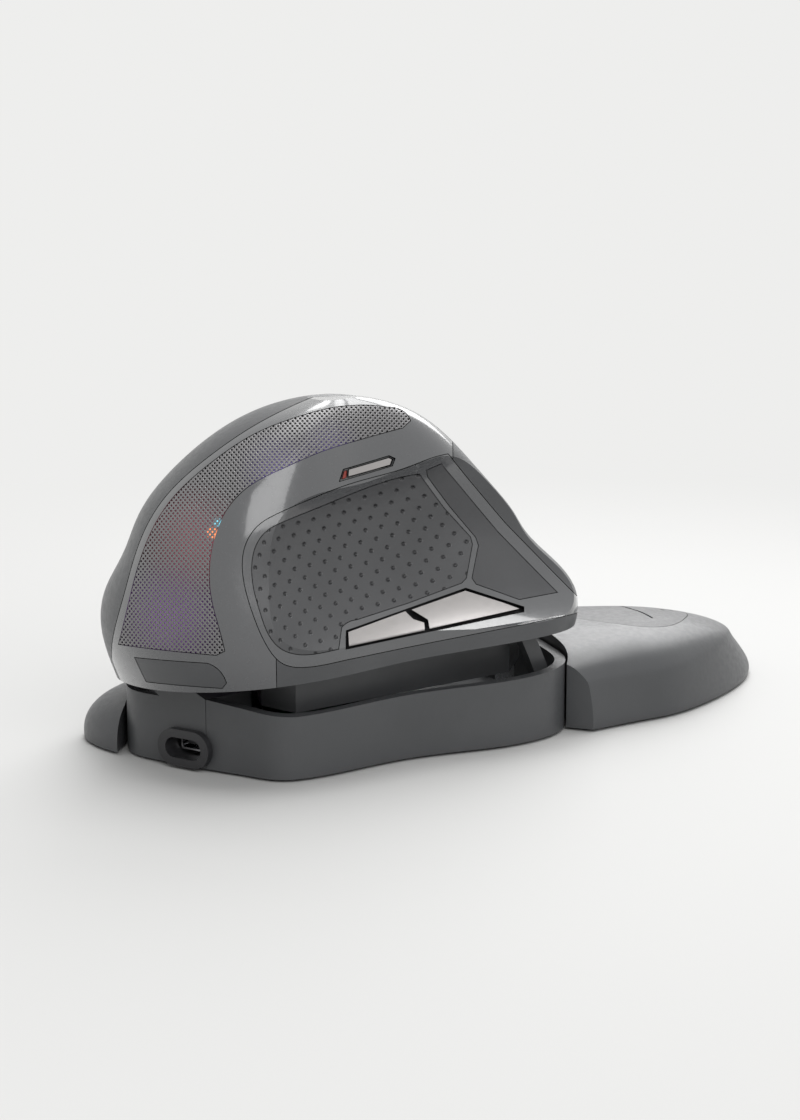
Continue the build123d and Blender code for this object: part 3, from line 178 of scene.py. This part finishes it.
port_black = moulded("port black", (0.022, 0.022, 0.024), 0.35)
chip = moulded("chip black", (0.02, 0.02, 0.02), 0.45)
steel = moulded("steel", (0.55, 0.55, 0.56), 0.28, grain=0.4 * MM, depth=0.004 * MM, metallic=1.0)
plated = moulded("plated steel", (0.72, 0.72, 0.74), 0.16, depth=0.002 * MM, metallic=1.0)
feet = moulded("slide foot", (0.62, 0.62, 0.61), 0.3, depth=0.006 * MM)
cell = moulded("cell wrap", (0.06, 0.10, 0.18), 0.3, depth=0.02 * MM)
led = moulded("light chip", (0.8, 0.78, 0.66), 0.25)

# Rubber grip with its field of round pits, in slanted rows that widen to the right; each pit is darkened with
# painted shade
PIT_STEP = (3.1 * MM, 0.72 * MM)
PIT_ROW = (-0.98 * MM, -2.42 * MM)
PIT_START = (-18 * MM, 29 * MM)
PIT_SPREAD = 4.0
PIT_DEPTH = 0.34 * MM
PIT_PAINTED_SHADE = (0.018, 0.018, 0.02)
grip = moulded("pitted thumb rubber", (0.060, 0.061, 0.064), 0.40, depth=0.012 * MM)
pit_far = grip.lattice(PIT_STEP, PIT_ROW, PIT_START, PIT_SPREAD)
grip.bump(grip.span(pit_far, 0.1 * MM, 0.56 * MM), PIT_DEPTH)
# Painted shade: the rubber's colour darkens towards the middle of each pit, where the recess would be shaded
grip.shade(grip.span(pit_far, 0.2 * MM, 0.5 * MM, 1, 0), PIT_PAINTED_SHADE)

# Thumb buttons: silver with a crease along them, with painted shade along its foot
CREASE_HEIGHT = 16.9 * MM
CREASE_SLOPE = 0.19
CREASE_DEPTH = 0.4 * MM
CREASE_PAINTED_SHADE = (0.06, 0.06, 0.062)
thumb_silver = moulded("creased silver paint", SILVER, 0.32, **PAINT)
crease_up = thumb_silver.math("SUBTRACT", thumb_silver.along(STYLE_UP), CREASE_HEIGHT)
crease = thumb_silver.math("MULTIPLY_ADD", thumb_silver.along(STYLE_RIGHT), -CREASE_SLOPE, crease_up)
thumb_silver.bump(thumb_silver.span(crease, 1.4 * MM, 2.3 * MM), CREASE_DEPTH)
crease_foot_painted_shade = thumb_silver.math(
    "MULTIPLY",
    thumb_silver.span(crease, 1.0 * MM, 1.6 * MM),
    thumb_silver.span(crease, 1.8 * MM, 2.5 * MM, 1, 0),
)
# Painted shade: a dark band along the foot of the crease, where the step would be shaded
thumb_silver.shade(thumb_silver.math("MULTIPLY", crease_foot_painted_shade, 0.7), CREASE_PAINTED_SHADE)

# Mesh of the nose: round holes through which the light guide shows
HOLE_STEP = (0.95 * MM, 0)
HOLE_ROW = (0.475 * MM, 0.52 * MM)
HOLE_RIM = (0.17 * MM, 0.23 * MM)
mesh = moulded("nose mesh", (0.15, 0.147, 0.15), 0.30, depth=0.004 * MM)
hole_far = mesh.lattice(HOLE_STEP, HOLE_ROW, (0, 0))
mesh.bump(mesh.span(hole_far, 0.12 * MM, 0.34 * MM), 0.10 * MM)
mesh.feed(mesh.shader.inputs["Alpha"], mesh.span(hole_far, *HOLE_RIM))

# Light guide behind the mesh: dark with soft coloured patches, each with place, radius, colour and power
PATCHES = (
    ((-51, 36), 13, (0.62, 0.16, 0.22), 0.32),
    ((-56, 21), 13, (0.38, 0.16, 0.56), 0.42),
    ((-46.6, 37.2), 1.4, (1.0, 0.28, 0.07), 4.0),
    ((-45.6, 39.3), 1.1, (0.1, 0.65, 0.8), 2.0),
    ((-34, 49.5), 9, (0.24, 0.18, 0.5), 0.35),
    ((-24, 54.5), 7, (0.24, 0.18, 0.5), 0.25),
)
GLOW = 1.4
guide = Finish("light guide", (0.05, 0.05, 0.055), 0.4)
guide_u = guide.along(STYLE_RIGHT)
guide_v = guide.along(STYLE_UP)


def patch(u, v, radius):
    """Soft round patch in the styling plane, one at its middle."""
    du = guide.math("SUBTRACT", guide_u, u * MM)
    dv = guide.math("SUBTRACT", guide_v, v * MM)
    squares = guide.math("ADD", guide.math("MULTIPLY", du, du), guide.math("MULTIPLY", dv, dv))
    far = guide.math("SQRT", squares)
    return guide.span(far, 0, radius * MM, 1, 0)


glow = None
for place, radius, colour, power in PATCHES:
    light = guide.blend(guide.math("MULTIPLY", patch(*place, radius), power), (0, 0, 0), colour)
    if glow is not None:
        total = guide.node("ShaderNodeMix", data_type="RGBA", blend_type="ADD")
        total.inputs[0].default_value = 1
        guide.feed(total.inputs[6], glow)
        guide.feed(total.inputs[7], light)
        light = total.outputs[2]
    glow = light
guide.feed(guide.shader.inputs["Emission Color"], glow)
guide.shader.inputs["Emission Strength"].default_value = GLOW
guide.bump(guide.noise(2 * MM), 0.05 * MM)

# Circuit boards: solder mask with traces
MASK = (0.02, 0.13, 0.06)
TRACES_PER_METRE = 400
board = moulded("solder mask", MASK, 0.35)
lines = board.node("ShaderNodeTexBrick")
board.feed(lines.inputs["Vector"], board.place)
lines.inputs["Scale"].default_value = TRACES_PER_METRE
lines.inputs["Color1"].default_value = (*MASK, 1)
lines.inputs["Color2"].default_value = (0.02, 0.11, 0.05, 1)
lines.inputs["Mortar"].default_value = (0.05, 0.24, 0.10, 1)
lines.inputs["Mortar Size"].default_value = 0.03
board.feed(board.shader.inputs["Base Color"], lines.outputs["Color"])

# Clear parts
lens = Finish("clear lens", (0.85, 0.9, 0.95), 0.08)
lens.shader.inputs["Transmission Weight"].default_value = 0.9
lens.bump(lens.noise(1 * MM), 0.004 * MM)
red = Finish("red light", (0.16, 0.02, 0.015), 0.2)
red.shader.inputs["Emission Color"].default_value = (1.0, 0.14, 0.08, 1)
red.shader.inputs["Emission Strength"].default_value = 0.06
red.bump(red.noise(0.5 * MM), 0.01 * MM)

finishes = {
    shell: ("body_shell", "side_band", "lower_tub", "tilt_strut", "left_button", "right_button"),
    base: ("base_tray", "front_block"),
    palm: ("palm_rest_shell",),
    pad: ("palm_rest_pad",),
    frame_gloss: ("front_shell", "resolution_bezel"),
    gloss: ("thumb_trim", "wheel_strip", "wheel_hub"),
    grip: ("thumb_grip",),
    plain_grip: ("rear_grip", "wheel_tyre"),
    mesh: ("mesh_grille",),
    guide: ("light_diffuser",),
    badge: ("badge_plate",),
    silver: ("resolution_button", "power_knob"),
    thumb_silver: ("front_thumb_button", "rear_thumb_button"),
    inner: ("thumb_shell", "belly_plate", "button_well", "palm_rest_plate", "strut_guide", "board_bracket",
            "battery_strap", "wheel_carrier"),
    port_black: ("usb_shroud", "usb_tongue"),
    chip: ("optical_sensor", "controller_chip", "power_switch", "main_chip", "wheel_encoder",
           "left_click_switch", "right_click_switch", "wheel_click_switch"),
    steel: ("board_screws", "body_screws", "hinge_pins", "strike_plates", "wheel_axle", "dome_switches"),
    plated: ("usb_port", "palm_rest_magnets"),
    feet: ("base_feet", "palm_rest_feet"),
    cell: ("battery",),
    board: ("sensor_board", "main_board", "light_strip"),
    led: ("light_chips",),
    lens: ("sensor_lens",),
    red: ("resolution_light",),
}
for finish, names in finishes.items():
    for name in names:
        mesh_data = nodes[name].data
        mesh_data.materials.clear()
        mesh_data.materials.append(finish.material)

# Floor that fades into the backdrop's colour between two distances from the middle
BACKDROP = (0.855, 0.855, 0.845)
FLOOR = (0.50, 0.50, 0.494)
FLOOR_RADIUS = 20
FADE = (0.09, 0.3)
FILL = 0.5
bpy.ops.mesh.primitive_circle_add(vertices=96, radius=FLOOR_RADIUS, fill_type="NGON", location=(0, 0, 0))
floor = bpy.context.object
floor.name = "floor"
ground = Finish("pale floor", FLOOR, 0.7)
reach = ground.node("ShaderNodeVectorMath", operation="LENGTH")
ground.feed(reach.inputs[0], ground.place)
backdrop = ground.node("ShaderNodeEmission")
backdrop.inputs["Color"].default_value = (*BACKDROP, 1)
cover = ground.node("ShaderNodeMixShader")
ground.feed(cover.inputs[0], ground.span(reach.outputs["Value"], *FADE))
ground.feed(cover.inputs[1], ground.shader.outputs[0])
ground.feed(cover.inputs[2], backdrop.outputs[0])
ground.feed(ground.output.inputs["Surface"], cover.outputs[0])
ground.bump(ground.noise(30 * MM), 0.05 * MM)
floor.data.materials.append(ground.material)

# Surroundings: an even fill light; the camera, reflections and clear parts see the backdrop's colour
world = bpy.data.worlds.new("studio")
scene.world = world
world.use_nodes = True
sky = world.node_tree
surround = sky.nodes["Background"]
surround.inputs["Color"].default_value = (1, 1, 1, 1)
surround.inputs["Strength"].default_value = FILL
seen = sky.nodes.new("ShaderNodeBackground")
seen.inputs["Color"].default_value = (*BACKDROP, 1)
path = sky.nodes.new("ShaderNodeLightPath")
choose = sky.nodes.new("ShaderNodeMixShader")
background_rays = path.outputs["Is Camera Ray"]
for kind in ("Is Glossy Ray", "Is Transmission Ray"):
    either = sky.nodes.new("ShaderNodeMath")
    either.operation = "MAXIMUM"
    sky.links.new(background_rays, either.inputs[0])
    sky.links.new(path.outputs[kind], either.inputs[1])
    background_rays = either.outputs[0]
sky.links.new(background_rays, choose.inputs[0])
sky.links.new(surround.outputs[0], choose.inputs[1])
sky.links.new(seen.outputs[0], choose.inputs[2])
sky.links.new(choose.outputs[0], sky.nodes["World Output"].inputs["Surface"])


def softbox(name, place, aim, width, height, power):
    """A large soft lamp that faces a point."""
    lamp = bpy.data.lights.new(name, "AREA")
    lamp.shape = "RECTANGLE"
    lamp.size = width
    lamp.size_y = height
    lamp.energy = power
    holder = bpy.data.objects.new(name, lamp)
    scene.collection.objects.link(holder)
    holder.location = place
    holder.rotation_euler = (Vector(aim) - Vector(place)).to_track_quat("-Z", "Y").to_euler()


# Lamps: name, place, aim, width, height and power
for lamp_row in (
    ("overhead", (0.15, -0.25, 1.1), (0, 0, 0), 0.8, 0.9, 11),
    ("rear right", (0.5, -0.75, 0.6), (0, 0, 0.03), 0.7, 0.6, 5),
    ("front left", (-0.9, 0.35, 0.7), (0, 0, 0.03), 0.9, 0.7, 6),
):
    softbox(*lamp_row)

# Camera, as the photo was taken
CAMERA_PLACE = (-443.354, 385.399, 157.537)
CAMERA_LENS = 89.91
camera_data = bpy.data.cameras.new("camera")
camera_data.lens = CAMERA_LENS
camera_data.clip_end = 100
camera = bpy.data.objects.new("camera", camera_data)
scene.collection.objects.link(camera)
camera.location = Vector(CAMERA_PLACE) * MM
camera.rotation_euler = STYLE_BACK.to_track_quat("Z", "Y").to_euler()
scene.camera = camera
scene.view_settings.view_transform = "Standard"
